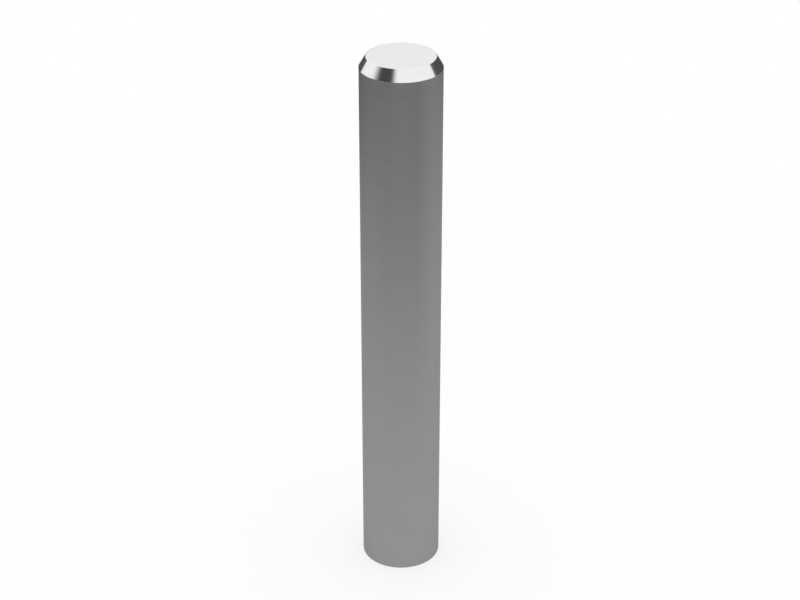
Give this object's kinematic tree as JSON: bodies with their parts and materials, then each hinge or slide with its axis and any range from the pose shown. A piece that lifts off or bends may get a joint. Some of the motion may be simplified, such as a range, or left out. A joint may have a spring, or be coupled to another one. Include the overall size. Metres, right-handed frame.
{
  "type": "interference stud",
  "caption": "Plain round steel stud with a ground shank, a short tapered lead at one end and a square-cut other end, held by an interference fit in a reamed hole.",
  "frame": {"origin": "centre of the square-cut end face, which the stud stands on", "axes": "+Z along the stud's axis, from the square end to the tapered lead; the stud is round, so X and Y are any two directions across it"},
  "size_m": [0.01, 0.01, 0.07],
  "materials": {
    "steel": "shank ground to a satin grey, lead and end faces turned bright"
  },
  "bodies": {
    "root": {"stud": "steel"}
  },
  "joints": []
}
